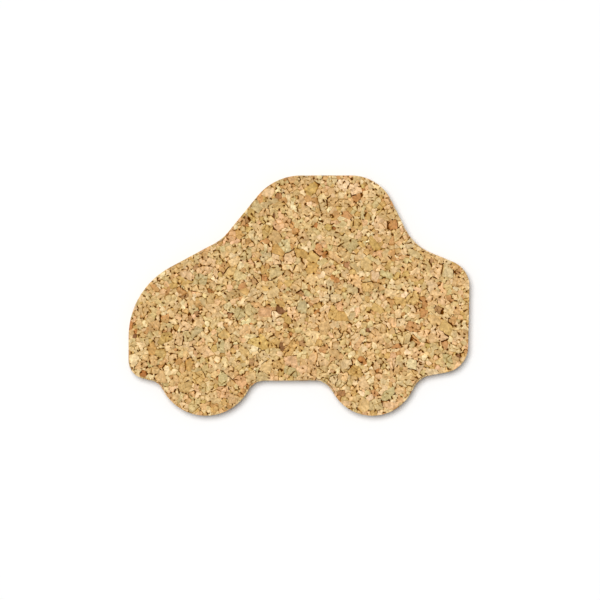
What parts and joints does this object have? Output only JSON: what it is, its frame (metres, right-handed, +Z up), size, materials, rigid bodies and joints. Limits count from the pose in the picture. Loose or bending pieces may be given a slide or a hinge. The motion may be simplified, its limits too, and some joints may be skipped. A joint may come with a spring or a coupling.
{
  "type": "cork drinks coaster",
  "caption": "Flat drinks coaster die-cut in the outline of a small saloon car from agglomerated cork, with coarse granules seated in a bonded fine-grain sheet.",
  "frame": {"origin": "centre of the outline's box, on the lower face that rests on the table", "axes": "+X from nose to tail, +Y from the wheels to the roof, +Z up through the sheet's thickness"},
  "size_m": [0.127, 0.0895, 0.004],
  "materials": {
    "bonded_sheet": "die-cut agglomerated cork, fine granulate in binder, matt",
    "tan_granules": "cut cork granules, plain tan, matt",
    "rose_granules": "cut cork granules, pinkish tan, matt",
    "honey_granules": "cut cork granules, golden, matt",
    "olive_granules": "cut cork granules, greenish grey tan, matt",
    "cream_granules": "cut cork granules, pale cream, matt",
    "russet_granules": "cut cork granules, reddish brown, matt",
    "bark_granules": "cut cork granules of dark outer bark, matt"
  },
  "bodies": {
    "root": {"bonded_sheet": "bonded_sheet", "tan_granules": "tan_granules", "rose_granules": "rose_granules", "honey_granules": "honey_granules", "olive_granules": "olive_granules", "cream_granules": "cream_granules", "russet_granules": "russet_granules", "bark_granules": "bark_granules"}
  },
  "joints": []
}
